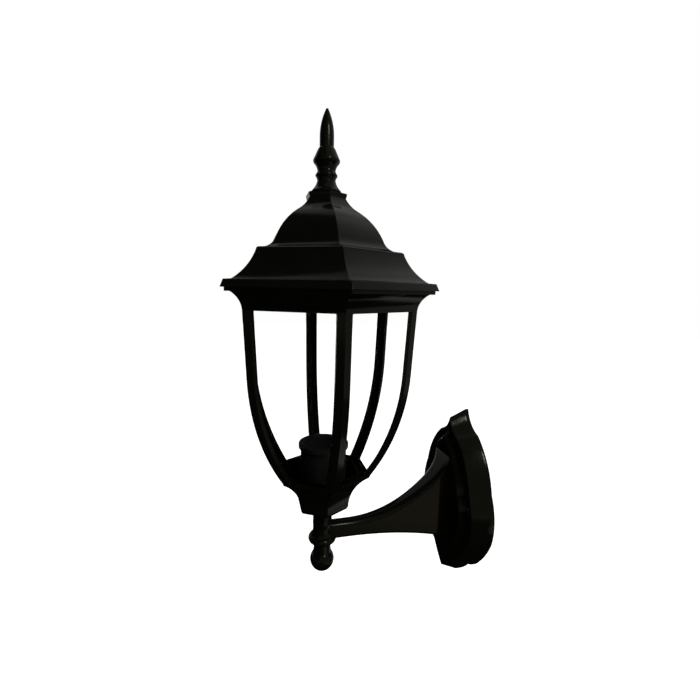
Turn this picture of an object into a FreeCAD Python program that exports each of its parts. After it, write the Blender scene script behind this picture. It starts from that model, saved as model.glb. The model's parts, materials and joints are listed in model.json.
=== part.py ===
"""Colonial wall lantern: six-sided cast lantern standing on a bracket arm with a shield-shaped wall plate.

Millimetres. The wall is the plane y = 0, the lantern stands out along -Y and +Z is up.
The origin is on the wall, midway between the two screws of the wall plate.
"""
import FreeCAD, Part
import math
import os

V = FreeCAD.Vector
UP = V(0, 0, 1)
OUT = V(0, 1, 0)
TAN30 = math.tan(math.radians(30))
COS30 = math.cos(math.radians(30))
QUARTER = math.tan(math.radians(22.5)) / 2  # bulge of a quarter circle

# Place of the lantern on the wall
reach = 136.0            # wall to lantern axis
arm_drop = 25.6          # arm axis below the plate screws
spare = 1.0              # how far a cut runs past the metal

# Bracket: hub under the cup and the arm that flares towards the plate
hub_above = 23.6         # hub top over the arm axis
hub_below = 10.3         # hub underside below the arm axis
hub_top_radius = 9.0
hub_waist_radius = 8.4
hub_collar_radius = 9.2  # above and below the ring at the hub's foot
hub_ring_radius = 12.2
hub_ring_height = 6.6
hub_neck_bulge = 0.03
hub_foot_bulge = 0.05
arm_height = 15.0        # at the hub
arm_width = 12.0         # at the hub
arm_rise = 45.5          # how far the top edge climbs towards the plate
arm_fall = 8.4           # how far the lower edge drops
arm_spread = 5.0         # how far each side widens
arm_straight = 20.0      # plain length at the hub
arm_flare = 2.2          # power of the flare
arm_top_corner = 5.4     # rounding of the upper edges
arm_low_corner = 3.0     # rounding of the lower edges
arm_stations = 6
root_curve = 8.0         # sweep into the plate, at the sides and below
crown_curve = 14.0       # sweep into the plate, above
root_turn = 70.0         # degrees of that sweep
root_stations = 4
wire_radius = 3.6        # wire way through the arm

# Cage, half sizes across the flats, heights from the hub up
cage_wall = 2.6
cup_half = 20.2
cup_height = 30.7
cup_bulge = 0.13
rim_half = 35.2
rim_top_half = 36.3
rim_height = 2.6
window_height = 136.7    # rim top to cove
rib_top_half = 64.4
rib_lean = 2.6           # degrees off plumb at the top
rib_straight = 49.0
rib_flange = 6.0         # width of a rib on each side of its corner
window_corner = 0.8
cove_height = 14.6
cove_reach = 11.2        # lip beyond the top of the ribs
lip_height = 1.1
flange_edge = 1.3        # top ring inside the clip rivets' heads
flange_thickness = 2.6
ledge_thickness = 4.0    # ledge that the panes stand on
ledge_lip = 1.5          # ledge behind the panes
groove_depth = 2.0       # panes below the rim's top

# Glass
glass_thickness = 3.0
glass_gap = 0.3
glass_lap = 4.5          # over the window's top edge
glass_side_gap = 0.8

# Roof, half sizes across the flats, heights from the cage up
roof_wall = 3.0
eave_overhang = 2.6      # eave beyond the cage's lip
fascia_lean = 2.1
fascia_height = 5.3
eave_width = 5.1
eave_rise = 0.4
flare_height = 20.9
flare_bulge = 0.08
shoulder_half = 54.4
shoulder_height = 0.7
ledge_inset = 1.5
ledge_rise = 1.0
dome_half = 40.6
hollow_height = 7.9
hollow_bulge = 0.17
dome_top_half = 21.7
dome_height = 23.4
dome_bulge = 0.077
neck_half = 14.0
neck_height = 9.2
neck_bulge = 0.06
collar_half = 14.7
collar_undercut = 2.2
collar_height = 1.5

# Roof fixing
stud_radius = 3.0
stud_engage = 11.0       # length inside the finial
thread_gap = 0.15
hole_gap = 0.3
washer_thickness = 1.5
washer_radius = 9.5
bridge_end = 6.0         # bar beyond its screws
bridge_width = 14.0
bridge_thickness = 2.5
bridge_screw_inset = 5.3  # from the top ring's inner corner
bridge_screw_radius = 2.0
bridge_screw_head = 3.6
bridge_screw_head_height = 2.0
nut_flat_half = 5.0
nut_height = 4.5
stud_tail = 3.0

# Finial, radii and heights from its seat up
finial_base_radius = 11.6
finial_base_edge = 0.9
finial_throat_radius = 7.1
finial_throat_height = 8.6
finial_bead_radius = 8.4
finial_bead_height = 12.5
finial_bead_edge = 1.2   # height of its rounded edge
finial_neck_radius = 7.0
finial_neck_height = 16.1
finial_vase_radius = 10.0
finial_vase_height = 23.2
finial_vase_edge = 2.6   # height of its rounded edge
finial_shoulder_radius = 6.6
finial_shoulder_height = 31.9
finial_spire_radius = 5.5
finial_spire_foot = 33.4
finial_spire_straight = 41.3
finial_height = 61.2
finial_tip_radius = 1.2
finial_spire_bulge = 0.056
finial_cove_bulge = 0.08
finial_edge_bulge = 0.14
finial_bore_spare = 2.0

# Pane clips
clip_width = 10.0
clip_thickness = 0.8
clip_drop = 12.5
clip_foot = 7.0
rivet_radius = 1.5
rivet_head_radius = 2.6
rivet_head_height = 1.0

# Lamp holder, heights from the tray floor up
pipe_radius = 5.0
pipe_bore = 3.5
pipe_window = 3.0
pipe_washer_radius = 10.0
pipe_washer_thickness = 1.2
pipe_nut_half = 7.0
pipe_nut_height = 4.0
holder_gap = 1.2         # lock nut to holder cap
cap_neck_radius = 8.5
cap_neck_height = 4.0
cap_height = 16.0
cap_bulge = 0.2
cap_wall = 2.5
holder_radius = 18.8
holder_height = 32.5
lip_radius = 20.6
lip_thickness = 4.0
shell_radius = 13.3      # inside the lamp's screw shell
shell_wall = 1.3
shell_length = 19.0
shell_gap = 0.3
insulator_height = 7.0
insulator_inset = 3.0
contact_radius = 4.0
contact_height = 3.0
contact_bulge = 0.1
contact_room = 1.5       # free space round the contact
pipe_entry = 6.0         # pipe inside the holder cap
insulator_radius = holder_radius - cap_wall - shell_gap

# Drop finial under the hub
drop_top_radius = 8.2
drop_neck_radius = 7.2
drop_neck_place = 2.2
drop_neck_bulge = 0.12
drop_collar_radius = 7.8  # where the ball springs from the neck
drop_ball_radius = 10.5
drop_ball_place = 17.1
drop_engage = 9.0        # pipe inside the drop finial

# Wall plate
plate_lip = 3.0
plate_depth = 18.5       # wall to border
plate_draft = 5.0        # border edge inside the back edge
border_width = 8.0
panel_step = 3.5
panel_height = 5.0       # panel over the border
plate_wall = 3.0
plate_top = 77.0
plate_bottom = 85.0
crest_half = 19.0
crest_place = 57.8
waist_half = 45.5
waist_place = 15.0
hip_half = 49.9
hip_place = 28.0
foot_half = 35.0
foot_place = 53.0
toe_half = 19.6
toe_place = 65.5
crest_bulge = 0.137
shoulder_bulge = 0.09
side_bulge = 0.10
hip_bulge = 0.04
foot_bulge = 0.08
toe_bulge = 0.04

# Plate fixing
plate_screw_radius = 2.0
plate_screw_head = 3.4
plate_screw_head_height = 1.8
plate_screw_room = 0.3   # from the head to the panel's foot
strap_end = 4.6          # past the plate screws
strap_width = 12.0
strap_thickness = 2.5
wall_hole_half = 25.0
wall_hole_radius = 2.4
earth_place = 9.0
earth_radius = 2.0
earth_head = 3.6
earth_head_height = 2.6
arm_screw_radius = 2.5
arm_screw_head = 4.5
arm_screw_head_height = 3.0
arm_screw_depth = 12.0   # thread in the arm
arm_screw_rise = 29.0    # upper screw over the arm axis
arm_screw_fall = 12.0    # lower screw under the arm axis
screw_edge_share = 0.35  # upright edge of a domed head
screw_dome_bulge = 0.12

# Levels and half sizes that follow from those above
lip_half = rib_top_half + cove_reach
eave_half = lip_half + eave_overhang
eave_top_half = eave_half - fascia_lean
flare_half = eave_top_half - eave_width
arm_z = -arm_drop
cup_z = arm_z + hub_above
hub_foot_z = arm_z - hub_below
rim_z = cup_z + cup_height
sill_z = rim_z + rim_height
window_top_z = sill_z + window_height
cove_top_z = window_top_z + cove_height
cage_top_z = cove_top_z + lip_height
eave_z = cage_top_z + fascia_height
flare_z = eave_z + eave_rise
shoulder_z = flare_z + flare_height
ledge_z = shoulder_z + shoulder_height + ledge_rise
dome_z = ledge_z + hollow_height
dome_top_z = dome_z + dome_height
neck_z = dome_top_z + neck_height
roof_top_z = neck_z + collar_undercut + collar_height
finial_z = roof_top_z + washer_thickness
groove_z = sill_z - groove_depth
floor_z = cup_z + cage_wall
border_y = -plate_depth
panel_y = border_y - panel_height
axis = V(0, -reach, 0)


def edge(start, end, bulge=0.0):
    """Line, or arc whose middle stands off the chord to its left by bulge times its length."""
    if not bulge:
        return Part.LineSegment(start, end).toShape()
    chord = end - start
    middle = (start + end) * 0.5 + V(-chord.z, 0, chord.x) * bulge
    return Part.Arc(start, middle, end).toShape()


def edges(points):
    """Edges through (x, z) points in the XZ plane; a third value bends the edge that ends there."""
    spots = [V(p[0], 0, p[1]) for p in points]
    bends = [p[2] if len(p) > 2 else 0.0 for p in points]
    return [edge(spots[i - 1], spots[i], bends[i]) for i in range(1, len(spots))]


def face(points):
    """Closed face in the XZ plane."""
    return Part.Face(Part.Wire(edges(list(points) + [points[0][:2]])))


def silhouette(points):
    """Face between a right-hand outline, given from the top down, and its mirror image."""
    mirrored = [(-points[-1][0], points[-1][1])]
    for i in range(len(points) - 1, 0, -1):
        bend = points[i][2] if len(points[i]) > 2 else 0.0
        mirrored.append((-points[i - 1][0], points[i - 1][1], bend))
    return face(list(points) + mirrored)


def turned(points):
    """Round piece about the Z axis, from an outline that starts and ends on the axis or is closed."""
    return face(points).revolve(V(), UP, 360)


def tube(outer, inner, low, height):
    """Ring about the Z axis."""
    return turned([(inner, low), (outer, low), (outer, low + height), (inner, low + height)])


def rod(radius, start, direction, length):
    return Part.makeCylinder(radius, length, start, direction)


def wedge(far, low, high, side_gap=0.0):
    """One sixth of the hexagon, with a flat facing +X, its mitres moved in by side_gap on the face."""
    apex = side_gap / TAN30
    half = (far - apex) * TAN30
    corners = [V(apex, 0, low), V(far, half, low), V(far, -half, low), V(apex, 0, low)]
    return Part.Face(Part.makePolygon(corners)).extrude(UP * (high - low))


def one_side(section, side_gap=0.0):
    """One side of a mitred hexagonal piece, facing +X."""
    box = section.BoundBox
    far = box.XMax + spare
    bar = section.translated(V(0, -far, 0)).extrude(V(0, 2 * far, 0))
    return bar.common(wedge(far, box.ZMin - spare, box.ZMax + spare, side_gap))


def spun(shape, count=6, first=30.0):
    """Copies about the lantern axis; the flats face 30, 90, 150 degrees and so on."""
    return [shape.rotated(V(), UP, first + 360.0 / count * i) for i in range(count)]


def six_sided(section):
    """Mitred hexagonal solid with the given silhouette across its flats."""
    sides = spun(one_side(section))
    return sides[0].fuse(sides[1:]).removeSplitter()


def six_sided_ring(inner, outer, low, high):
    return six_sided(face([(inner, low), (outer, low), (outer, high), (inner, high)]))


def hexagon(flat_half, low, height, bore):
    """Nut about the Z axis."""
    side = flat_half / COS30
    corners = [V(side, 0, low)]
    for i in range(1, 7):
        turn = math.radians(60 * i)
        corners.append(V(side * math.cos(turn), side * math.sin(turn), low))
    nut = Part.Face(Part.makePolygon(corners)).extrude(UP * height)
    return nut.cut(rod(bore, V(0, 0, low), UP, height))


def save(name, shape):
    """Write one piece; groups hold separate solids."""
    shape.exportStep("parts/" + name + ".step")


def save_head(name, shape):
    """Write a piece of the lantern head, modelled about the Z axis."""
    save(name, shape.translated(axis))


# Cage

def rib_bend():
    """Top of the ribs' bowed length, and the angle between its chord and the lean at its top."""
    lean = math.radians(rib_lean)
    spring = (rib_top_half - rib_straight * math.sin(lean), window_top_z - rib_straight * math.cos(lean))
    return spring, math.atan2(spring[0] - rim_top_half, spring[1] - sill_z) - lean


def rib_outline(top):
    """Right half of the outline from the lip to the rim; the cove runs smoothly into the ribs."""
    spring, turn = rib_bend()
    cove_turn = math.atan2(cove_reach, cove_height) - math.radians(rib_lean)
    return [
        (lip_half, top),
        (lip_half, cove_top_z),
        (rib_top_half, window_top_z, -math.tan(cove_turn / 2) / 2),
        spring,
        (rim_top_half, sill_z, math.tan(turn / 2) / 2),
    ]


def cage_outline(top):
    """Right half of the cage's silhouette, carried up to the given height at its lip."""
    return rib_outline(top) + [(rim_half, rim_z), (cup_half, cup_z, -cup_bulge)]


def cage_inset(depth):
    """The cage's silhouette moved in by depth, open at the top."""
    return silhouette(cage_outline(cage_top_z + 2 * depth)).makeOffset2D(-depth, 2)


def foot_slope():
    """How fast the ribs' line closes in where it meets the rim."""
    return math.tan(math.radians(rib_lean) + 2 * rib_bend()[1])


def glass_inset(depth):
    """The ribs' silhouette carried straight on below the rim, moved in by depth."""
    foot = (rim_top_half - cup_height * foot_slope(), sill_z - cup_height)
    return silhouette(rib_outline(cage_top_z + 2 * depth) + [foot]).makeOffset2D(-depth, 2)


def glass_section(gap, low, high):
    """Section of a pane between two heights, with a gap in front of it and behind it."""
    near = cage_wall + glass_gap
    band = glass_inset(near - gap).cut(glass_inset(near + glass_thickness + gap))
    return band.common(Part.makeBox(lip_half, 2 * spare, high - low, V(0, -spare, low)))


def groove():
    """Section of the groove behind the rim that the panes stand in."""
    return glass_section(glass_gap, groove_z, sill_z + glass_gap)


def window():
    """Opening between two ribs, on the side that faces +X, with rounded corners."""
    start = groove().BoundBox.XMin
    cutter = wedge(lip_half, sill_z, window_top_z, rib_flange)
    cutter = cutter.cut(Part.makeBox(start, lip_half, cage_top_z, V(0, -lip_half / 2, 0)))
    level = [e for e in cutter.Edges if abs(e.tangentAt(e.FirstParameter).x) > 0.5]
    return cutter.makeFillet(window_corner, level)


def make_cage():
    block = six_sided(silhouette(cage_outline(cage_top_z)))
    ledge_half = groove().BoundBox.XMin - ledge_lip
    ledge = six_sided_ring(ledge_half, lip_half, sill_z - ledge_thickness, sill_z).common(block)
    ring = six_sided_ring(flange_half(), lip_half, cage_top_z - flange_thickness, cage_top_z)
    cage = block.cut(six_sided(cage_inset(cage_wall))).fuse([ledge, ring])
    cage = cage.cut(spun(window()) + [six_sided(groove())])
    holes = [rod(pipe_radius + hole_gap, V(0, 0, cup_z), UP, cup_height)]
    for place in bridge_screw_places():
        holes.append(rod(bridge_screw_radius + thread_gap, place - UP * cove_height, UP, cove_height))
    rivet = rod(rivet_radius + thread_gap, V(rivet_place(), 0, window_top_z), UP, cove_height * 2)
    return cage.cut(holes + spun(rivet)).removeSplitter()


# Glass

def make_panes():
    """Six bowed panes that follow the ribs from inside and stand in the groove."""
    section = glass_section(0, groove_z, window_top_z + glass_lap)
    return spun(one_side(section, glass_side_gap))


def pane_back():
    """Distance from the axis to the back of a pane at the top of the window."""
    return rib_top_half - cage_wall - glass_gap - glass_thickness


def rivet_place():
    return pane_back() - glass_gap - clip_thickness - clip_foot / 2


def flange_half():
    """Half size of the opening in the top ring."""
    return rivet_place() - rivet_head_radius - flange_edge


def make_clips():
    """Sprung angles under the top ring, behind the head of each pane."""
    front = pane_back() - glass_gap
    back = front - clip_thickness
    high = cage_top_z - flange_thickness
    section = face([
        (back - clip_foot, high),
        (front, high),
        (front, high - clip_drop),
        (back, high - clip_drop),
        (back, high - clip_thickness),
        (back - clip_foot, high - clip_thickness),
    ])
    clip = section.translated(V(0, -clip_width / 2, 0)).extrude(V(0, clip_width, 0))
    clip = clip.cut(rod(rivet_radius + thread_gap, V(rivet_place(), 0, high - clip_drop), UP, clip_drop))
    return Part.makeCompound(spun(clip))


def make_rivets():
    low = cage_top_z - flange_thickness - clip_thickness
    rivet = rod(rivet_radius, V(rivet_place(), 0, low), UP, cage_top_z - low)
    head = rod(rivet_head_radius, V(rivet_place(), 0, low - rivet_head_height), UP, rivet_head_height)
    return Part.makeCompound(spun(rivet.fuse(head)))


# Roof

def roof_outline(low):
    """Right half of the roof's silhouette, from the collar to the eave, carried down to low."""
    return [
        (collar_half, roof_top_z),
        (collar_half, roof_top_z - collar_height),
        (neck_half, neck_z),
        (dome_top_half, dome_top_z, -neck_bulge),
        (dome_half, dome_z, dome_bulge),
        (shoulder_half - ledge_inset, ledge_z, -hollow_bulge),
        (shoulder_half, shoulder_z + shoulder_height),
        (shoulder_half, shoulder_z),
        (flare_half, flare_z, -flare_bulge),
        (eave_top_half, eave_z),
        (eave_half, cage_top_z),
        (eave_half, low),
    ]


def make_roof():
    outline = roof_outline(cage_top_z)[:-1]
    roof = six_sided(silhouette(outline))
    hollow = silhouette(roof_outline(cage_top_z - 2 * roof_wall)).makeOffset2D(-roof_wall, 2)
    roof = roof.cut(six_sided(hollow))
    hole = rod(stud_radius + hole_gap, V(0, 0, dome_z), UP, roof_top_z - dome_z)
    return roof.cut(hole).removeSplitter()


def bridge_top():
    return cage_top_z + bridge_thickness


def bridge_screw_places():
    """Both screws on the underside of the bridge bar, over the top ring's corners."""
    place = flange_half() / COS30 + bridge_screw_inset
    return [V(-place, 0, cage_top_z), V(place, 0, cage_top_z)]


def make_bridge():
    """Bar across the top ring that carries the roof stud."""
    left, right = bridge_screw_places()
    half = right.x + bridge_end
    bar = Part.makeBox(2 * half, bridge_width, bridge_thickness, V(-half, -bridge_width / 2, cage_top_z))
    holes = [rod(stud_radius + thread_gap, V(0, 0, cage_top_z), UP, bridge_thickness)]
    for place in (left, right):
        holes.append(rod(bridge_screw_radius + thread_gap, place, UP, bridge_thickness))
    return bar.cut(holes)


def make_bridge_screws():
    screws = []
    length = flange_thickness + bridge_thickness
    for place in bridge_screw_places():
        shank = rod(bridge_screw_radius, place - UP * flange_thickness, UP, length)
        top = place + UP * bridge_thickness
        screws.append(shank.fuse(rod(bridge_screw_head, top, UP, bridge_screw_head_height)))
    return Part.makeCompound(screws)


def make_stud():
    low = cage_top_z - nut_height - stud_tail
    return rod(stud_radius, V(0, 0, low), UP, finial_z + stud_engage - low)


def make_stud_nuts():
    bore = stud_radius + thread_gap
    lower = hexagon(nut_flat_half, cage_top_z - nut_height, nut_height, bore)
    upper = hexagon(nut_flat_half, bridge_top(), nut_height, bore)
    return Part.makeCompound([lower, upper])


def make_finial():
    """Turned spire over a vase, a bead and a flared base, bored for the stud."""
    tip = finial_z + finial_height
    bead = finial_z + finial_bead_height
    vase = finial_z + finial_vase_height
    outline = [
        (0, tip),
        (finial_tip_radius, tip - finial_tip_radius, QUARTER),
        (finial_spire_radius, finial_z + finial_spire_straight, finial_spire_bulge),
        (finial_spire_radius, finial_z + finial_spire_foot),
        (finial_shoulder_radius, finial_z + finial_shoulder_height, -finial_cove_bulge),
        (finial_vase_radius, vase + finial_vase_edge / 2),
        (finial_vase_radius, vase - finial_vase_edge / 2, finial_edge_bulge),
        (finial_neck_radius, finial_z + finial_neck_height, -finial_cove_bulge),
        (finial_bead_radius, bead + finial_bead_edge / 2, -finial_cove_bulge),
        (finial_bead_radius, bead - finial_bead_edge / 2, finial_edge_bulge),
        (finial_throat_radius, finial_z + finial_throat_height, -finial_cove_bulge),
        (finial_base_radius, finial_z + finial_base_edge, -finial_cove_bulge),
        (finial_base_radius, finial_z),
        (0, finial_z),
    ]
    bore = rod(stud_radius + thread_gap, V(0, 0, finial_z), UP, stud_engage + finial_bore_spare)
    return turned(outline).cut(bore)


# Lamp holder

def nut_top():
    return floor_z + pipe_washer_thickness + pipe_nut_height


def cap_z():
    return nut_top() + holder_gap


def body_z():
    return cap_z() + cap_height


def shell_z():
    return body_z() + insulator_inset


def make_holder_cap():
    """Domed lower half with the pipe entry."""
    low = cap_z()
    inner = holder_radius - cap_wall
    outline = [
        (pipe_radius + thread_gap, low),
        (cap_neck_radius, low),
        (cap_neck_radius, low + cap_neck_height),
        (holder_radius, body_z() - cap_wall, -cap_bulge),
        (holder_radius, body_z()),
        (inner, body_z()),
        (inner, body_z() - insulator_height + insulator_inset),
        (cap_neck_radius, low + pipe_entry),
        (pipe_radius + thread_gap, low + pipe_entry),
    ]
    return turned(outline)


def make_holder_body():
    """Sleeve with a lip round the lamp's mouth."""
    low = body_z()
    high = low + holder_height
    bore = shell_radius + shell_wall + shell_gap
    seat = insulator_radius + shell_gap
    return turned([
        (seat, low),
        (holder_radius, low),
        (holder_radius, high - lip_thickness),
        (lip_radius, high - lip_thickness),
        (lip_radius, high),
        (bore, high),
        (bore, shell_z() + shell_gap),
        (seat, shell_z() + shell_gap),
    ])


def contact_z():
    return shell_z() - contact_height - shell_gap


def make_insulator():
    """Disc under the screw shell, with a recess for the centre contact."""
    disc = rod(insulator_radius, V(0, 0, shell_z() - insulator_height), UP, insulator_height)
    return disc.cut(rod(contact_radius + contact_room, V(0, 0, contact_z()), UP, insulator_height))


def make_shell():
    return tube(shell_radius + shell_wall, shell_radius, shell_z(), shell_length)


def make_contact():
    return turned([
        (0, contact_z() + contact_height),
        (contact_radius, contact_z() + contact_height / 2, contact_bulge),
        (contact_radius, contact_z()),
        (0, contact_z()),
    ])


def make_pipe():
    """Hollow threaded pipe, with a side hole where the wires turn into the arm."""
    low = hub_foot_z - drop_engage
    high = cap_z() + pipe_entry - thread_gap
    pipe = tube(pipe_radius, pipe_bore, low, high - low)
    return pipe.cut(rod(pipe_window, V(0, 0, arm_z), OUT, pipe_radius * 2))


def make_pipe_washer():
    return tube(pipe_washer_radius, pipe_radius + hole_gap, floor_z, pipe_washer_thickness)


def make_pipe_nut():
    low = floor_z + pipe_washer_thickness
    return hexagon(pipe_nut_half, low, pipe_nut_height, pipe_radius + thread_gap)


# Bracket

def make_drop_finial():
    """Ball nut under the hub, screwed onto the pipe."""
    ball = hub_foot_z - drop_ball_place
    ball_top = ball + math.sqrt(drop_ball_radius ** 2 - drop_collar_radius ** 2)
    neck = turned([
        (0, hub_foot_z),
        (drop_top_radius, hub_foot_z),
        (drop_neck_radius, hub_foot_z - drop_neck_place, -drop_neck_bulge),
        (drop_collar_radius, ball_top),
        (0, ball_top),
    ])
    sphere = Part.makeSphere(drop_ball_radius, V(0, 0, ball))
    depth = drop_engage + spare
    bore = rod(pipe_radius + thread_gap, V(0, 0, hub_foot_z - depth), UP, depth)
    return neck.fuse(sphere).cut(bore)


def rounded_section(place, low, high, half):
    """Upright rounded rectangle across the arm."""
    spots = [
        (half, low, 0, 1, arm_low_corner),
        (half, high, -1, 0, arm_top_corner),
        (-half, high, 0, -1, arm_top_corner),
        (-half, low, 1, 0, arm_low_corner),
    ]
    arcs = []
    for x, z, ahead_x, ahead_z, r in spots:
        enter = V(x - r * ahead_z, place, z + r * ahead_x)
        leave = V(x + r * ahead_x, place, z + r * ahead_z)
        centre = enter + leave - V(x, place, z)
        middle = centre + (V(x, place, z) - centre).normalize() * r
        arcs.append((enter, middle, leave))
    parts = []
    for i, (enter, middle, leave) in enumerate(arcs):
        parts.append(Part.LineSegment(arcs[i - 1][2], enter).toShape())
        parts.append(Part.Arc(enter, middle, leave).toShape())
    return Part.Wire(parts)


def sweep(curve, left):
    """How far a rounded sweep of the given radius stands out, left short of the plate."""
    turn = math.radians(root_turn)
    along = max(0.0, math.sin(turn) - left / curve)
    return curve * (1 - math.sqrt(1 - along ** 2))


def arm_section(place):
    """Section of the arm at a distance from the lantern axis."""
    end = reach + panel_y
    left = end - place
    grown = max(0.0, (place - arm_straight) / (end - arm_straight)) ** arm_flare
    low = arm_z - arm_height / 2 - arm_fall * grown - sweep(root_curve, left)
    high = arm_z + arm_height / 2 + arm_rise * grown + sweep(crown_curve, left)
    half = arm_width / 2 + arm_spread * grown + sweep(root_curve, left)
    return rounded_section(place, low, high, half)


def make_arm():
    """Hub and arm in one casting; the arm flares by a power of its length and sweeps into the plate."""
    end = reach + panel_y
    start = hub_waist_radius / 2
    turns = [math.radians(root_turn * i / root_stations) for i in range(root_stations + 1)]
    steps = [end - crown_curve * (math.sin(turns[-1]) - math.sin(turn)) for turn in turns]
    places = [start + (steps[0] - start) * i / arm_stations for i in range(arm_stations + 1)]
    horn = Part.makeLoft([arm_section(place) for place in places], True)
    root = Part.makeLoft([arm_section(place) for place in steps], True)
    hub = turned([
        (0, cup_z),
        (hub_top_radius, cup_z),
        (hub_waist_radius, arm_z + arm_height / 2, -hub_neck_bulge),
        (hub_collar_radius, hub_foot_z + hub_ring_height, -hub_foot_bulge),
        (hub_collar_radius, hub_foot_z, (hub_ring_radius - hub_collar_radius) / hub_ring_height),
        (0, hub_foot_z),
    ])
    arm = hub.fuse([horn, root])
    pipe_way = rod(pipe_radius + hole_gap, V(0, 0, hub_foot_z), UP, cup_z - hub_foot_z)
    wire_way = rod(wire_radius, V(0, 0, arm_z), OUT, end)
    arm = arm.cut([pipe_way, wire_way])
    threads = []
    for z in (arm_z + arm_screw_rise, arm_z - arm_screw_fall):
        threads.append(rod(arm_screw_radius + thread_gap, V(0, end, z), OUT * -1, arm_screw_depth + spare))
    return arm.cut(threads).removeSplitter()


def make_arm_screws():
    inside = panel_y + plate_wall
    screws = []
    for z in (arm_z + arm_screw_rise, arm_z - arm_screw_fall):
        shank = rod(arm_screw_radius, V(0, inside, z), OUT * -1, plate_wall + arm_screw_depth)
        head = rod(arm_screw_head, V(0, inside, z), OUT, arm_screw_head_height)
        screws.append(shank.fuse(head))
    return Part.makeCompound(screws)


# Wall plate

def plate_corners():
    """Right half of the shield from its top point to its bottom point; the third value bends the edge."""
    return [
        (0, plate_top),
        (crest_half, crest_place, -crest_bulge),
        (waist_half, waist_place, shoulder_bulge),
        (hip_half, -hip_place, side_bulge),
        (foot_half, -foot_place, hip_bulge),
        (toe_half, -toe_place, foot_bulge),
        (0, -plate_bottom, toe_bulge),
    ]


def crossing(a, b, c, d):
    """Where line a-b meets line c-d."""
    u = b - a
    w = d - c
    share = ((c.x - a.x) * w.z - (c.z - a.z) * w.x) / (u.x * w.z - u.z * w.x)
    return a + u * share


def plate_wire(inset, place):
    """The shield's outline moved in by inset, standing at y = place."""
    half = plate_corners()
    ring = [V(x, 0, z) for x, z in [p[:2] for p in half]]
    bends = [p[2] for p in half[1:]]
    ring += [V(-p.x, 0, p.z) for p in ring[-2:0:-1]]
    bends += bends[::-1]
    count = len(ring)
    lines = []
    for i in range(count):
        run = ring[(i + 1) % count] - ring[i]
        inward = V(run.z, 0, -run.x).normalize() * inset
        lines.append((ring[i] + inward, ring[(i + 1) % count] + inward))
    moved = [crossing(*lines[i - 1], *lines[i]) for i in range(count)]
    sides = [edge(moved[i], moved[(i + 1) % count], bends[i]) for i in range(count)]
    return Part.Wire(sides).translated(V(0, place, 0))


def shield(near, far):
    """Solid between two outlines, each given as inset and place."""
    return Part.makeLoft([plate_wire(*near), plate_wire(*far)], True, True)


def plate_screw_half():
    """From the middle to a plate screw, whose head stands on the border beside the panel."""
    panel = Part.Face(plate_wire(plate_draft + border_width, border_y))
    across = Part.makeLine(V(0, border_y, 0), V(hip_half, border_y, 0))
    return panel.common(across).BoundBox.XMax + plate_screw_head + plate_screw_room


def make_plate():
    """Hollow shield: lip on the wall, drafted rim, flat border and raised panel."""
    step = plate_draft + border_width
    plate = shield((0, 0), (0, -plate_lip))
    plate = plate.fuse([
        shield((0, -plate_lip), (plate_draft, border_y)),
        shield((step, border_y), (step + panel_step, panel_y)),
    ])
    room = shield((plate_wall, 0), (plate_wall, -plate_lip))
    room = room.fuse([
        shield((plate_wall, -plate_lip), (plate_draft + plate_wall, border_y + plate_wall)),
        shield(
            (step + plate_wall, border_y + plate_wall),
            (step + panel_step + plate_wall, panel_y + plate_wall),
        ),
    ])
    plate = plate.cut(room)
    holes = [rod(wire_radius, V(0, panel_y, arm_z), OUT, plate_depth)]
    for z in (arm_z + arm_screw_rise, arm_z - arm_screw_fall):
        holes.append(rod(arm_screw_radius + hole_gap, V(0, panel_y, z), OUT, plate_depth))
    for side in (-1, 1):
        place = V(side * plate_screw_half(), panel_y, 0)
        holes.append(rod(plate_screw_radius + hole_gap, place, OUT, plate_depth))
    return plate.cut(holes).removeSplitter()


def make_strap():
    """Steel strap on the wall, with wall holes and threads for the plate and earth screws."""
    half = plate_screw_half() + strap_end
    corner = V(-half, -strap_thickness, -strap_width / 2)
    strap = Part.makeBox(2 * half, strap_thickness, strap_width, corner)
    holes = [rod(earth_radius + thread_gap, V(earth_place, -strap_thickness, 0), OUT, strap_thickness)]
    for side in (-1, 1):
        wall_place = V(side * wall_hole_half, -strap_thickness, 0)
        plate_place = V(side * plate_screw_half(), -strap_thickness, 0)
        holes.append(rod(wall_hole_radius, wall_place, OUT, strap_thickness))
        holes.append(rod(plate_screw_radius + thread_gap, plate_place, OUT, strap_thickness))
    return strap.cut(holes)


def domed_screw(radius, head, head_height, length):
    """Screw along the Z axis with its shank below z = 0 and a domed head above."""
    return turned([
        (0, head_height),
        (head, head_height * screw_edge_share, screw_dome_bulge),
        (head, 0),
        (radius, 0),
        (radius, -length),
        (0, -length),
    ])


def make_plate_screws():
    screw = domed_screw(plate_screw_radius, plate_screw_head, plate_screw_head_height, plate_depth)
    screw = screw.rotated(V(), V(1, 0, 0), 90)
    places = [V(side * plate_screw_half(), border_y, 0) for side in (-1, 1)]
    return Part.makeCompound([screw.translated(place) for place in places])


def make_earth_screw():
    screw = domed_screw(earth_radius, earth_head, earth_head_height, strap_thickness)
    return screw.rotated(V(), V(1, 0, 0), 90).translated(V(earth_place, -strap_thickness, 0))


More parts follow.
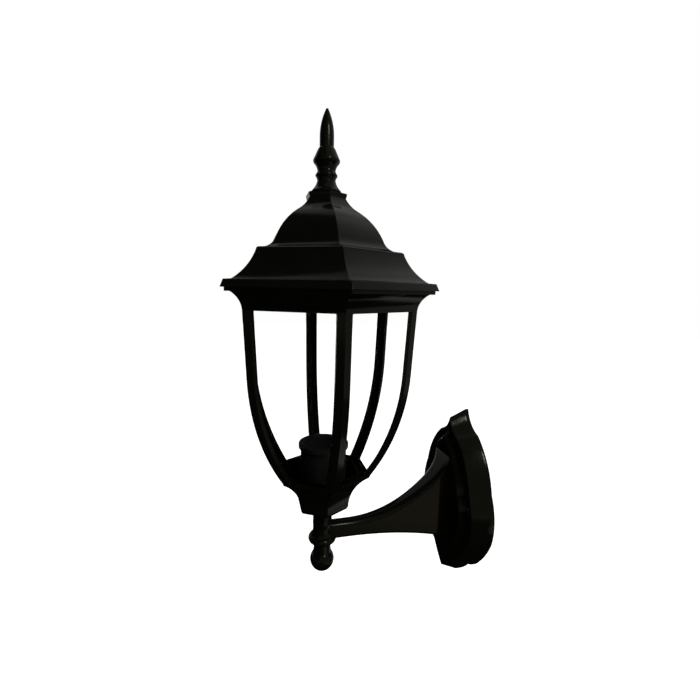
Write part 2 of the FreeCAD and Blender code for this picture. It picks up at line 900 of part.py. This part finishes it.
os.makedirs("parts", exist_ok=True)
save_head("finial", make_finial())
save_head("finial_washer", tube(washer_radius, stud_radius + hole_gap, roof_top_z, washer_thickness))
save_head("roof", make_roof())
save_head("roof_stud", make_stud())
save_head("stud_nuts", make_stud_nuts())
save_head("bridge_bar", make_bridge())
save_head("bridge_screws", make_bridge_screws())
save_head("cage", make_cage())
for number, pane in enumerate(make_panes(), 1):
    save_head("glass_pane_" + str(number), pane)
save_head("pane_clips", make_clips())
save_head("clip_rivets", make_rivets())
save_head("holder_cap", make_holder_cap())
save_head("holder_body", make_holder_body())
save_head("holder_insulator", make_insulator())
save_head("screw_shell", make_shell())
save_head("centre_contact", make_contact())
save_head("lamp_pipe", make_pipe())
save_head("pipe_washer", make_pipe_washer())
save_head("pipe_nut", make_pipe_nut())
save_head("bracket_arm", make_arm())
save_head("drop_finial", make_drop_finial())
save("wall_plate", make_plate())
save("arm_screws", make_arm_screws())
save("mounting_strap", make_strap())
save("plate_screws", make_plate_screws())
save("earth_screw", make_earth_screw())
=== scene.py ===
import json
import math
import bmesh
import bpy
from mathutils import Matrix, Vector


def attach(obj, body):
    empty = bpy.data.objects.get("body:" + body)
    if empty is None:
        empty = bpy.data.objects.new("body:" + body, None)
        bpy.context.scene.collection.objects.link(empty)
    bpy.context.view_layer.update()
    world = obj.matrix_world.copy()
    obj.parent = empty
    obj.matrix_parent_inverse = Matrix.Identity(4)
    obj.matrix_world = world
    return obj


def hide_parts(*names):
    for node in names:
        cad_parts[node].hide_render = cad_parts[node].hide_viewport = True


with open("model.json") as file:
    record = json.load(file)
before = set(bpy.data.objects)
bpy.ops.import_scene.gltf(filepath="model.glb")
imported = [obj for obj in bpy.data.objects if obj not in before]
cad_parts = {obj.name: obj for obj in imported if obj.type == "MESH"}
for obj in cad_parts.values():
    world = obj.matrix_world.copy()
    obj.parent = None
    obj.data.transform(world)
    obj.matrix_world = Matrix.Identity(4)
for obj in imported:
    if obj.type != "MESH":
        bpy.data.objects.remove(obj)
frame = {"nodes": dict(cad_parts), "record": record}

nodes = frame["nodes"]
scene = bpy.context.scene
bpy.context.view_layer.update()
lampAxis = Vector((0, -0.136, 0))  # upright axis of the lantern head
print("frame loaded:", len(nodes), "pieces")


# camera, at the photograph's place
camSet = {
    "eye": (0.3219, -0.1956, 0.1830),
    "heading": 165.82,  # degrees from +X
    "tilt": -8.43,
    "roll": 1.22,
    "lens": 20.64,
    "sensor": 36,
    "clip": (0.01, 60),
}


def makeCamera(s):
    data = bpy.data.cameras.new("lanternCamera")
    data.lens = s["lens"]
    data.sensor_width = s["sensor"]
    data.clip_start, data.clip_end = s["clip"]
    cam = bpy.data.objects.new("lanternCamera", data)
    scene.collection.objects.link(cam)
    heading, tilt = math.radians(s["heading"]), math.radians(s["tilt"])
    look = Vector((math.cos(heading) * math.cos(tilt), math.sin(heading) * math.cos(tilt), math.sin(tilt)))
    turn = look.to_track_quat("-Z", "Y").to_matrix() @ Matrix.Rotation(math.radians(s["roll"]), 3, "Z")
    cam.matrix_world = Matrix.Translation(s["eye"]) @ turn.to_4x4()
    scene.camera = cam


makeCamera(camSet)
print("camera set")


# shader helpers: a Field is a socket that takes part in sums, a Finish is a node tree
class Field:
    def __init__(self, finish, socket):
        self.finish = finish
        self.socket = socket

    def combine(self, operation, first, second):
        return self.finish.node("ShaderNodeMath", {"operation": operation}, {0: first, 1: second})

    def __add__(self, other):
        return self.combine("ADD", self, other)

    def __radd__(self, other):
        return self.combine("ADD", other, self)

    def __sub__(self, other):
        return self.combine("SUBTRACT", self, other)

    def __rsub__(self, other):
        return self.combine("SUBTRACT", other, self)

    def __mul__(self, other):
        return self.combine("MULTIPLY", self, other)

    def __rmul__(self, other):
        return self.combine("MULTIPLY", other, self)

    def most(self, other):
        return self.combine("MAXIMUM", self, other)


class Finish:
    def __init__(self, name, owner=None):
        self.owner = owner or bpy.data.materials.new(name)
        self.owner.use_nodes = True
        self.tree = self.owner.node_tree
        self.tree.nodes.clear()

    def node(self, kind, settings=None, sockets=None, out=0):
        made = self.tree.nodes.new(kind)
        for key, value in (settings or {}).items():
            if key == "stops":
                ramp = made.color_ramp.elements
                while len(ramp) < len(value):
                    ramp.new(0.5)
                for stop, (place, colour) in zip(ramp, value):
                    stop.position = place
                    stop.color = colour
            else:
                setattr(made, key, value)
        for key, value in (sockets or {}).items():
            if isinstance(value, Field):
                self.tree.links.new(value.socket, made.inputs[key])
            else:
                made.inputs[key].default_value = value
        return Field(self, made.outputs[out]) if made.outputs else None

    def place(self):
        return self.node("ShaderNodeTexCoord", out="Object")

    def noise(self, scale, detail=3.0, rough=0.5):
        return self.node("ShaderNodeTexNoise", None, {
            "Vector": self.place(), "Scale": scale, "Detail": detail, "Roughness": rough,
        })

    def mix(self, factor, first, second):
        return self.node("ShaderNodeMix", {"data_type": "RGBA"}, {
            "Factor": factor, "A": first, "B": second,
        }, out="Result")

    def bump(self, height, strength, distance):
        return self.node("ShaderNodeBump", None, {"Height": height, "Strength": strength, "Distance": distance})

    def anyRay(self, *kinds):
        seen = [self.node("ShaderNodeLightPath", out="Is %s Ray" % kind) for kind in kinds]
        total = seen[0]
        for ray in seen[1:]:
            total = total.most(ray)
        return total

    def surface(self, sockets):
        shader = self.node("ShaderNodeBsdfPrincipled", None, sockets)
        self.node("ShaderNodeOutputMaterial", None, {"Surface": shader})
        return self.owner


# finishes; noise is given as scale, detail and roughness, sway is how far the gloss strays, depth is in metres
enamelSet = {
    "dark": (0.0012, 0.0012, 0.0008, 1),
    "pale": (0.0022, 0.0022, 0.0015, 1),
    "shine": 0.03,
    "tint": (0.98, 1.0, 0.80, 1),
    "swell": (55, 2),           # slow thickness of the paint
    "peel": (900, 2, 0.45),     # orange peel, about a millimetre
    "grit": (4200, 2),          # fine grit under the paint
    "gloss": 0.14,
    "swellSway": 0.10,
    "gritSway": 0.08,
    "heights": (1.5, 0.7, 0.12),  # of swell, peel and grit
    "relief": 0.35,
    "depth": 0.00012,
}


def makeEnamel(s):
    f = Finish("castEnamel")
    swell, peel, grit = [f.noise(*s[key]) for key in ("swell", "peel", "grit")]
    swellHeight, peelHeight, gritHeight = s["heights"]
    relief = peel * peelHeight + grit * gritHeight + swell * swellHeight
    return f.surface({
        "Base Color": f.mix(swell, s["dark"], s["pale"]),
        "Roughness": s["gloss"] + (swell - 0.5) * s["swellSway"] + (grit - 0.5) * s["gritSway"],
        "Specular IOR Level": s["shine"],
        "Specular Tint": s["tint"],
        "Normal": f.bump(relief, s["relief"], s["depth"]),
    })


glassSet = {
    "clear": (0.996, 1.0, 0.998, 1),
    "deep": (0.984, 0.998, 0.992, 1),
    "smear": (120, 4, 0.6),
    "bend": 1.01,
}


def makeGlass(s):
    f = Finish("paneGlass")
    smear = f.noise(*s["smear"])
    pane = f.node("ShaderNodeBsdfPrincipled", None, {
        "Base Color": f.mix(smear, s["clear"], s["deep"]),
        "Roughness": 0.0,
        "IOR": s["bend"],
        "Transmission Weight": 1.0,
    })
    way = f.node("ShaderNodeBsdfTransparent", None, {"Color": s["clear"]})
    lit = f.anyRay("Shadow", "Diffuse", "Glossy")  # lamps shine through the panes
    both = f.node("ShaderNodeMixShader", None, {0: lit, 1: pane, 2: way})
    f.node("ShaderNodeOutputMaterial", None, {"Surface": both})
    return f.owner


bakeliteSet = {
    "dark": (0.0022, 0.0026, 0.0024, 1),
    "pale": (0.004, 0.0045, 0.004, 1),
    "shine": 0.03,
    "cloud": (160, 4, 0.6),
    "fleck": (2600, 2),
    "gloss": 0.33,
    "cloudSway": 0.12,
    "fleckSway": 0.06,
    "cloudHeight": 0.8,
    "relief": 0.12,
    "depth": 0.00008,
}


def makeBakelite(s):
    f = Finish("holderBakelite")
    cloud, fleck = f.noise(*s["cloud"]), f.noise(*s["fleck"])
    return f.surface({
        "Base Color": f.mix(cloud, s["dark"], s["pale"]),
        "Roughness": s["gloss"] + (cloud - 0.5) * s["cloudSway"] + (fleck - 0.5) * s["fleckSway"],
        "Specular IOR Level": s["shine"],
        "Normal": f.bump(fleck + cloud * s["cloudHeight"], s["relief"], s["depth"]),
    })


metalSet = {  # what brass and zinc share
    "cloud": (90, 4, 0.65),
    "lines": 900,       # turning marks
    "waver": 2.0,
    "cloudWear": 0.7,
    "patchWear": 0.3,
    "cloudSway": 0.16,
    "patchSway": 0.14,
    "lineHeight": 0.5,
    "relief": 0.12,
    "depth": 0.00006,
}
brassSet = {"pale": (0.34, 0.24, 0.10, 1), "dull": (0.17, 0.115, 0.048, 1), "gloss": 0.44, "spangle": 600}
zincSet = {"pale": (0.50, 0.51, 0.52, 1), "dull": (0.31, 0.32, 0.33, 1), "gloss": 0.34, "spangle": 420}


def makeMetal(name, own):
    s = {**metalSet, **own}
    f = Finish(name)
    cloud = f.noise(*s["cloud"])
    grain = f.node("ShaderNodeTexVoronoi", {"feature": "F1"}, {
        "Vector": f.place(), "Scale": s["spangle"],
    }, out="Color")
    patch = f.node("ShaderNodeSeparateColor", None, {0: grain})
    line = f.node("ShaderNodeTexWave", {"bands_direction": "Z"}, {
        "Vector": f.place(), "Scale": s["lines"], "Distortion": s["waver"], "Detail": 2,
    })
    return f.surface({
        "Base Color": f.mix(cloud * s["cloudWear"] + patch * s["patchWear"], s["dull"], s["pale"]),
        "Metallic": 1.0,
        "Roughness": s["gloss"] + (patch - 0.5) * s["patchSway"] + (cloud - 0.5) * s["cloudSway"],
        "Normal": f.bump(line * s["lineHeight"] + cloud, s["relief"], s["depth"]),
    })


porcelainSet = {
    "dull": (0.78, 0.75, 0.68, 1),
    "pale": (0.84, 0.82, 0.77, 1),
    "pit": (0.52, 0.46, 0.38, 1),
    "cloud": (70, 3),
    "speck": (1900, 1),
    "pitStops": [(0.66, (0, 0, 0, 1)), (0.72, (1, 1, 1, 1))],
    "gloss": 0.16,
    "cloudSway": 0.08,
    "relief": 0.1,
    "depth": 0.0003,
}


def makePorcelain(s):
    f = Finish("glazedPorcelain")
    cloud, speck = f.noise(*s["cloud"]), f.noise(*s["speck"])
    pit = f.node("ShaderNodeValToRGB", {"stops": s["pitStops"]}, {0: speck})
    tone = f.mix(cloud, s["dull"], s["pale"])
    return f.surface({
        "Base Color": f.mix(pit, tone, s["pit"]),
        "Roughness": s["gloss"] + (cloud - 0.5) * s["cloudSway"],
        "Normal": f.bump(cloud, s["relief"], s["depth"]),
    })


rubberSet = {
    "dark": (0.011, 0.011, 0.011, 1),
    "pale": (0.02, 0.02, 0.019, 1),
    "cloud": (240, 4),
    "grit": (3000, 3),
    "gloss": 0.72,
    "cloudSway": 0.2,
    "relief": 0.3,
    "depth": 0.0001,
}


def makeRubber(s):
    f = Finish("washerRubber")
    cloud, grit = f.noise(*s["cloud"]), f.noise(*s["grit"])
    return f.surface({
        "Base Color": f.mix(cloud, s["dark"], s["pale"]),
        "Roughness": s["gloss"] + (cloud - 0.5) * s["cloudSway"],
        "Normal": f.bump(grit, s["relief"], s["depth"]),
    })


finishes = {
    "black_enamel": makeEnamel(enamelSet),
    "clear_glass": makeGlass(glassSet),
    "black_bakelite": makeBakelite(bakeliteSet),
    "brass": makeMetal("turnedBrass", brassSet),
    "zinc_steel": makeMetal("zincSteel", zincSet),
    "porcelain": makePorcelain(porcelainSet),
    "rubber": makeRubber(rubberSet),
}
slotOf = {row["node"]: row["material_slot"] for row in frame["record"]["subparts"]}
for name, piece in nodes.items():
    for slot in piece.material_slots:
        slot.material = finishes[slotOf[name]]
print("finishes made:", len(finishes))


# pieces
def finishPiece(bm, name, replaced, body="lantern"):
    mesh = bpy.data.meshes.new(name)
    bm.to_mesh(mesh)
    bm.free()
    piece = bpy.data.objects.new(name, mesh)
    scene.collection.objects.link(piece)
    mesh.materials.append(finishes[slotOf[replaced]])
    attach(piece, body)
    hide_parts(replaced)
    return piece


copySet = {"weld": 3e-6, "level": 0.3}  # metres; degrees between triangles of one flat face


def copyNode(name):
    bm = bmesh.new()
    bm.from_mesh(nodes[name].data)
    bmesh.ops.remove_doubles(bm, verts=bm.verts, dist=copySet["weld"])
    bmesh.ops.dissolve_limit(bm, angle_limit=math.radians(copySet["level"]), verts=bm.verts, edges=bm.edges)
    return bm


def smoothFaces(bm, corner):
    for face in bm.faces:
        face.smooth = True
    for edge in bm.edges:
        edge.smooth = len(edge.link_faces) == 2 and edge.calc_face_angle(0) < math.radians(corner)


# castings and pressings with their corners softened; width in mm
softEdges = {
    "roof": 0.7,
    "cage": 0.5,
    "wall_plate": 0.7,
    "holder_body": 0.5,
    "mounting_strap": 0.3,
    "bridge_bar": 0.3,
    "stud_nuts": 0.3,
    "pipe_nut": 0.3,
}
softSet = {"corner": 20, "segments": 2, "smooth": 32, "weight": 60}  # angles in degrees
cupFoot = {"level": -1.9, "inner": 20, "draw": 1.2}    # rounder edge under the cup, mm
paneSeat = {"low": 28.8, "high": 31.6}                 # sharp grooves that the panes stand in, mm


def roundCup(bm):
    for v in bm.verts:
        out = (v.co - lampAxis).xy
        if v.co.z * 1000 < cupFoot["level"] and out.length * 1000 > cupFoot["inner"]:
            v.co.xy -= out.normalized() * cupFoot["draw"] / 1000


def inSeat(edge):
    return all(paneSeat["low"] < v.co.z * 1000 < paneSeat["high"] for v in edge.verts)


def softenCorners(name, width, s):
    bm = copyNode(name)
    corner = math.radians(s["corner"])
    if name == "cage":
        roundCup(bm)
    sharp = [e for e in bm.edges if e.is_manifold and e.calc_face_angle(0) > corner]
    if name == "cage":
        sharp = [e for e in sharp if not inSeat(e)]
    bmesh.ops.bevel(bm, geom=sharp, offset=width / 1000, offset_type="OFFSET", segments=s["segments"],
                    profile=0.5, affect="EDGES", material=-1, clamp_overlap=True)
    smoothFaces(bm, s["smooth"])
    piece = finishPiece(bm, name + "_soft", name)
    shade = piece.modifiers.new("evenShade", "WEIGHTED_NORMAL")
    shade.keep_sharp = True
    shade.weight = s["weight"]


for name, width in softEdges.items():
    softenCorners(name, width, softSet)
print("corners softened:", len(softEdges))


# rolled thread of the lamp holder's shell, mm
shellThread = {
    "low": 26.0,
    "high": 43.4,
    "radius": 13.95,
    "depth": 0.42,
    "pitch": 3.63,
    "wall": 0.2,
    "spare": 2,     # waves below the low end, and one more above the high end, cut off again
    "points": 12,   # along one wave
    "turn": 72,     # steps round
    "weld": 0.002,
    "smooth": 40,   # degrees
}


def makeShell(s):
    bm = bmesh.new()
    waves = math.ceil((s["high"] - s["low"]) / s["pitch"]) + s["spare"] + 1
    low = s["low"] / 1000 - s["spare"] * s["pitch"] / 1000
    ends = [bm.verts.new(lampAxis + Vector((s["radius"] / 1000, 0, low + h * s["pitch"] / 1000)))
            for h in (0, waves)]
    bmesh.ops.subdivide_edges(bm, edges=[bm.edges.new(ends)], cuts=waves * s["points"] - 1)
    for v in bm.verts:
        v.co.x += s["depth"] / 1000 * math.cos(2 * math.pi * (v.co.z - low) * 1000 / s["pitch"])
    # a turn climbs one wave, so its end is welded one wave up
    bmesh.ops.spin(bm, geom=bm.verts[:] + bm.edges[:], cent=lampAxis, axis=(0, 0, 1), angle=2 * math.pi,
                   steps=s["turn"], dvec=(0, 0, s["pitch"] / 1000 / s["turn"]))
    bmesh.ops.remove_doubles(bm, verts=bm.verts, dist=s["weld"] / 1000)
    for level, way in ((s["low"], -1), (s["high"], 1)):
        bmesh.ops.bisect_plane(bm, geom=bm.verts[:] + bm.edges[:] + bm.faces[:], plane_co=(0, 0, level / 1000),
                               plane_no=(0, 0, way), clear_outer=True)
    bmesh.ops.recalc_face_normals(bm, faces=bm.faces)
    bmesh.ops.solidify(bm, geom=bm.faces[:], thickness=s["wall"] / 1000)
    smoothFaces(bm, s["smooth"])
    finishPiece(bm, "screw_shell_thread", "screw_shell")


# cross recesses in the screw heads; facing: axis and side, split: axis that parts two screws, sizes in mm
screwHeads = {
    "plate_screws": {"facing": (1, -1), "split": 0, "span": 3.8, "width": 0.9, "depth": 1.0},
    "arm_screws": {"facing": (1, 1), "split": 2, "span": 5.0, "width": 1.2, "depth": 1.6},
    "earth_screw": {"facing": (1, -1), "split": None, "span": 4.0, "width": 1.0, "depth": 1.4},
    "bridge_screws": {"facing": (2, 1), "split": 0, "span": 4.0, "width": 1.0, "depth": 1.2},
}
recessSet = {
    "reach": 2,         # faces within so many spans of the head are cut
    "outward": 0.3,     # least slope of a face on top of the head
    "slack": 1e-7,      # metres
    "smooth": 32,       # degrees
}


def headCentres(bm, s):
    axis, side = s["facing"]
    top = max(v.co[axis] * side for v in bm.verts)
    groups = [bm.verts[:]]
    if s["split"] is not None:
        middle = sum(v.co[s["split"]] for v in bm.verts) / len(bm.verts)
        groups = [[v for v in bm.verts if (v.co[s["split"]] > middle) == far] for far in (False, True)]
    centres = []
    for group in groups:
        centre = Vector([(min(v.co[a] for v in group) + max(v.co[a] for v in group)) / 2 for a in range(3)])
        centre[axis] = top * side
        centres.append(centre)
    return centres


def offCentre(face, centre, flat):
    middle = face.calc_center_median()
    return sorted(abs(middle[a] - centre[a]) for a in flat)


def cutRecess(name, s):
    bm = copyNode(name)
    axis, side = s["facing"]
    flat = [a for a in range(3) if a != axis]
    span, width, depth = [s[key] / 1000 for key in ("span", "width", "depth")]
    for centre in headCentres(bm, s):
        for a in flat:
            for shift in (-span / 2, -width / 2, width / 2, span / 2):
                place = centre.copy()
                place[a] += shift
                way = Vector((0, 0, 0))
                way[a] = 1
                faces = [f for f in bm.faces if offCentre(f, centre, flat)[1] < recessSet["reach"] * span]
                edges = {e for f in faces for e in f.edges}
                verts = {v for f in faces for v in f.verts}
                bmesh.ops.bisect_plane(bm, geom=list(verts) + list(edges) + faces, plane_co=place, plane_no=way,
                                       dist=recessSet["slack"])
        pocket = []
        for f in bm.faces:
            off = offCentre(f, centre, flat)
            if f.normal[axis] * side > recessSet["outward"] and off[0] < width / 2 and off[1] < span / 2:
                pocket.append(f)
        made = bmesh.ops.extrude_face_region(bm, geom=pocket)["geom"]
        for v in made:
            if isinstance(v, bmesh.types.BMVert):
                v.co[axis] = centre[axis] - side * depth
        bmesh.ops.delete(bm, geom=[f for f in pocket if f.is_valid], context="FACES")
    smoothFaces(bm, recessSet["smooth"])
    finishPiece(bm, name + "_cross", name)


makeShell(shellThread)
for name, cross in screwHeads.items():
    cutRecess(name, cross)
print("thread and screw heads made:", 1 + len(screwHeads))


# studio
studioSet = {
    "floorLevel": -0.6,
    "floorRadius": 9,
    "floorSides": 96,
    "floorTone": (0.86, 0.86, 0.85, 1),
    "floorShade": (0.84, 0.84, 0.83, 1),
    "floorGrain": (30, 4),
    "floorGloss": 0.9,
    "floorShine": 0.1,
    "floorGlow": (0.92, 0.92, 0.92, 1),  # what the camera adds to the lit floor
    "worldTone": (0.35, 0.35, 0.35, 1),
    "cardTone": (0.004, 0.004, 0.004, 1),
}
black, white = (0, 0, 0, 1), (1, 1, 1, 1)
lamps = {
    "keyLamp": {
        "place": (-0.07, 0.78, 0.84), "aim": (0, -0.136, 0.17), "size": (0.8, 1.0),
        "power": 1.1, "tone": (1, 1, 1),
    },
    "glintLamp": {
        "place": (0.70, 0.17, 0.72), "aim": (0, -0.136, 0.15), "size": (0.18, 0.26),
        "power": 10.5, "tone": (1, 1, 1),
    },
    "lowLamp": {
        "place": (0.62, 0.18, -0.42), "aim": (0.01, -0.07, -0.02), "size": (0.4, 0.3),
        "power": 0.9, "tone": (1, 0.8, 0.6),
    },
}
flags = {  # black cards that only the gloss of the paint sees
    "tableFlag": {"place": (-0.2, -1.8, -0.45), "aim": (-0.2, -1.8, 0), "size": 4.2},
    "coveFlag": {"place": (-0.78, 0.5, -0.44), "aim": (-0.78, 0.5, 0), "size": 0.8},
    "leftFlag": {"place": (0.3, -1.2, 1.05), "aim": (0.1, -0.136, 0.3), "size": 2.6},
    "sideFlag": {"place": (0.2, 0.85, -0.44), "aim": (0.2, 0.85, 0), "size": 0.7},
    "backFlag": {"place": (-1.2, 0.15, 0.62), "aim": (0, -0.1, 0), "size": 1.0},
}


def seenDirectly(f):
    return f.anyRay("Camera", "Glossy", "Transmission")


def aimed(s, front):
    way = Vector(s["aim"]) - Vector(s["place"])
    return Matrix.Translation(s["place"]) @ way.to_track_quat(front, "Y").to_matrix().to_4x4()


def stageMesh(bm, name, finish):
    mesh = bpy.data.meshes.new(name)
    bm.to_mesh(mesh)
    bm.free()
    mesh.materials.append(finish)
    thing = bpy.data.objects.new(name, mesh)
    scene.collection.objects.link(thing)
    return thing


def makeWorld(s):
    f = Finish("studioWorld", bpy.data.worlds.new("studioWorld"))
    soft = f.node("ShaderNodeBackground", None, {"Color": s["worldTone"], "Strength": 1.0})
    bright = f.node("ShaderNodeBackground", None, {"Color": white, "Strength": 1.0})
    both = f.node("ShaderNodeMixShader", None, {0: seenDirectly(f), 1: soft, 2: bright})
    f.node("ShaderNodeOutputWorld", None, {"Surface": both})
    scene.world = f.owner


def makeFloor(s):
    f = Finish("paleFloor")
    paper = f.noise(*s["floorGrain"])
    finish = f.surface({
        "Base Color": f.mix(paper, s["floorTone"], s["floorShade"]),
        "Roughness": s["floorGloss"],
        "Specular IOR Level": s["floorShine"],
        "Emission Color": f.mix(seenDirectly(f), black, s["floorGlow"]),
        "Emission Strength": 1.0,
    })
    bm = bmesh.new()
    bmesh.ops.create_circle(bm, cap_ends=True, segments=s["floorSides"], radius=s["floorRadius"],
                            matrix=Matrix.Translation((0, 0, s["floorLevel"])))
    floor = stageMesh(bm, "studioFloor", finish)


def makeVelvet(s):
    f = Finish("blackVelvet")
    return f.surface({"Base Color": s["cardTone"], "Roughness": 1.0, "Specular IOR Level": 0.0})


def makeFlag(name, s, velvet):
    bm = bmesh.new()
    bmesh.ops.create_grid(bm, x_segments=1, y_segments=1, size=s["size"] / 2, matrix=aimed(s, "Z"))
    flag = stageMesh(bm, name, velvet)
    flag.visible_camera = flag.visible_diffuse = flag.visible_shadow = flag.visible_transmission = False


def makeLamp(name, s):
    data = bpy.data.lights.new(name, "AREA")
    data.shape = "RECTANGLE"
    data.size, data.size_y = s["size"]
    data.energy = s["power"]
    data.color = s["tone"]
    lamp = bpy.data.objects.new(name, data)
    scene.collection.objects.link(lamp)
    lamp.matrix_world = aimed(s, "-Z")


makeWorld(studioSet)
makeFloor(studioSet)
velvet = makeVelvet(studioSet)
for name, card in flags.items():
    makeFlag(name, card, velvet)
for name, lamp in lamps.items():
    makeLamp(name, lamp)
scene.view_settings.view_transform = "Standard"
print("studio set")
